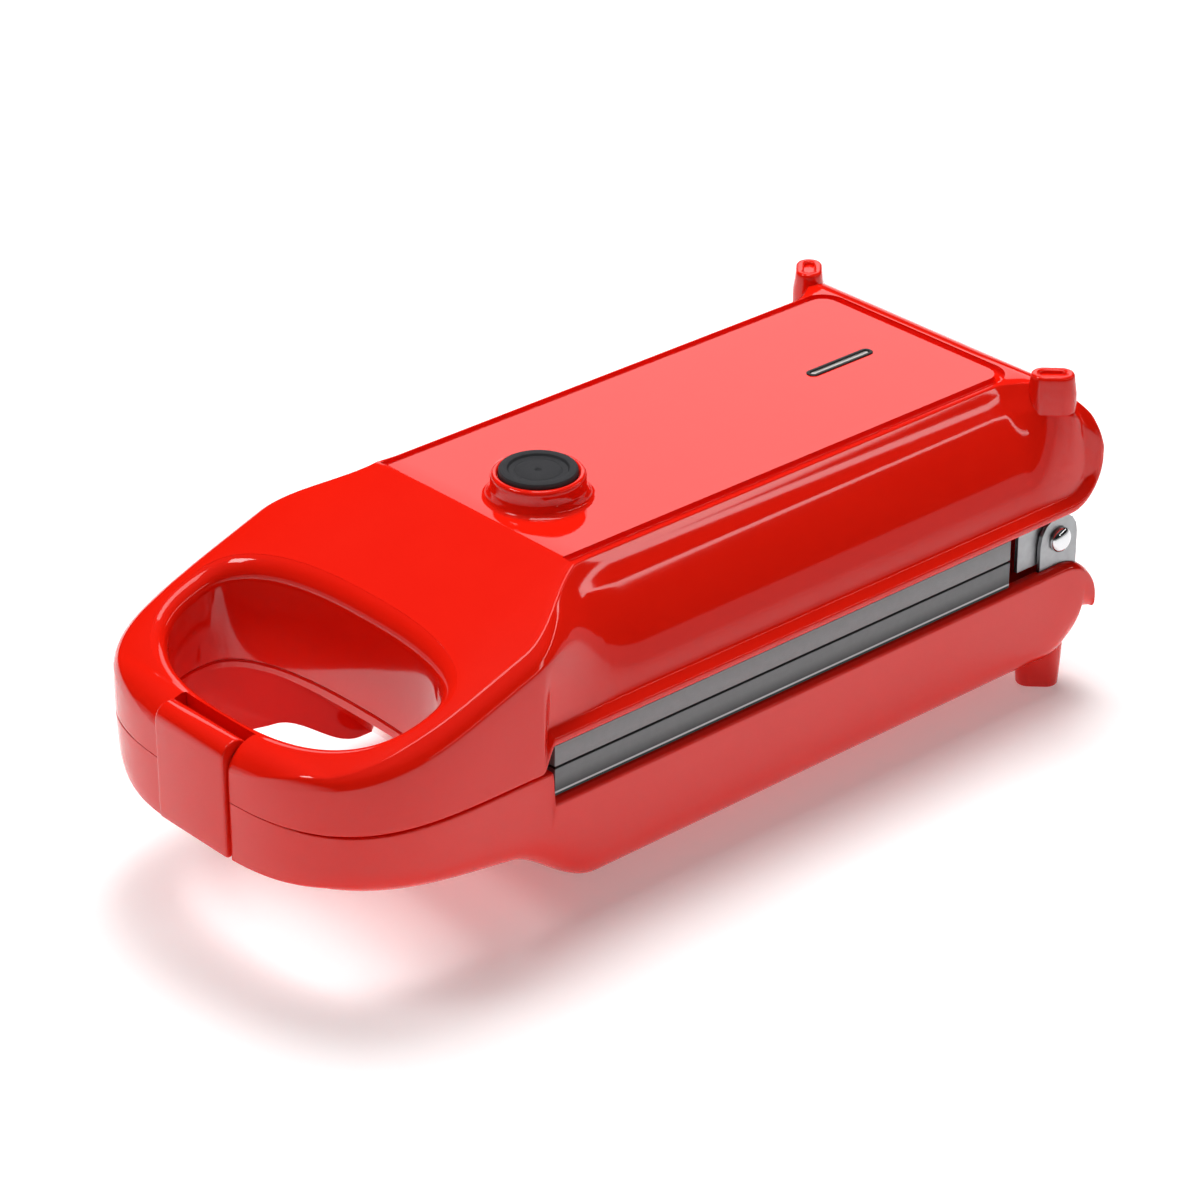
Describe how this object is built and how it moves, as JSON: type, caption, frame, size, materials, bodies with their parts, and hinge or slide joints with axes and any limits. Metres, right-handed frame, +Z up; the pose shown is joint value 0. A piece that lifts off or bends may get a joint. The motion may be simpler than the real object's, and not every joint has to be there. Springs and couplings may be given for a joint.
{
  "type": "sandwich maker",
  "caption": "Compact countertop sandwich maker: long plastic shells hinged at the rear, hot plates with triangular pockets, a hand loop and a hanging clip in front.",
  "frame": {"origin": "on the table under the middle of the closed maker's bounding box", "axes": "+Y runs from the hand loop and clip at the front to the hinge at the rear, +Z is up, +X is to the right seen from the hand loop"},
  "size_m": [0.15, 0.356, 0.133],
  "materials": {
    "red_plastic": "polished, injection moulded",
    "plate_aluminium": "cast, dark non-stick coat, bright worn edges",
    "rubber": "matt",
    "black_plastic": "matt",
    "ceramic": "unglazed ceramic, matt",
    "bright_steel": "bright plated",
    "steel": "zinc plated",
    "shield_steel": "rolled sheet",
    "heater_steel": "heat tinted tube",
    "lens": "milky, clear coat",
    "lamp": "glass neon bulb"
  },
  "bodies": {
    "base": {"base_bracket_left": "steel", "base_bracket_right": "steel", "base_bracket_screw_left_1": "steel", "base_bracket_screw_left_2": "steel", "base_bracket_screw_right_1": "steel", "base_bracket_screw_right_2": "steel", "base_screw_1": "steel", "base_screw_2": "steel", "base_screw_3": "steel", "base_screw_4": "steel", "base_shell": "red_plastic", "cord_gland": "black_plastic", "front_foot_left": "rubber", "front_foot_right": "rubber", "hinge_bolt_left": "bright_steel", "hinge_bolt_right": "bright_steel", "hinge_nut_left": "steel", "hinge_nut_right": "steel", "hinge_washer_left": "steel", "hinge_washer_right": "steel", "lower_heat_shield": "shield_steel", "lower_heater": "heater_steel", "lower_plate": "plate_aluminium", "lower_shield_screw_1": "steel", "lower_shield_screw_2": "steel", "terminal_block": "ceramic", "thermal_fuse": "ceramic", "thermostat": "steel"},
    "lid": {"clip_pin": "steel", "indicator_lamp": "lamp", "indicator_lens": "lens", "lid_bracket_left": "steel", "lid_bracket_right": "steel", "lid_bracket_screw_left_1": "steel", "lid_bracket_screw_left_2": "steel", "lid_bracket_screw_right_1": "steel", "lid_bracket_screw_right_2": "steel", "lid_foot": "rubber", "lid_foot_screw": "steel", "lid_shell": "red_plastic", "upper_heat_shield": "shield_steel", "upper_heater": "heater_steel", "upper_plate": "plate_aluminium", "upper_shield_screw_1": "steel", "upper_shield_screw_2": "steel"},
    "clip": {"clip": "red_plastic"}
  },
  "joints": [
    {"name": "lid_hinge", "type": "hinge", "parent": "base", "child": "lid", "pos_m": [0, 0.1605, 0.064], "axis": [-1, 0, 0], "range_deg": [0, 95]},
    {"name": "clip_hinge", "type": "hinge", "parent": "lid", "child": "clip", "pos_m": [0, -0.1723, 0.0804], "axis": [-1, 0, 0], "range_deg": [0, 40]}
  ]
}
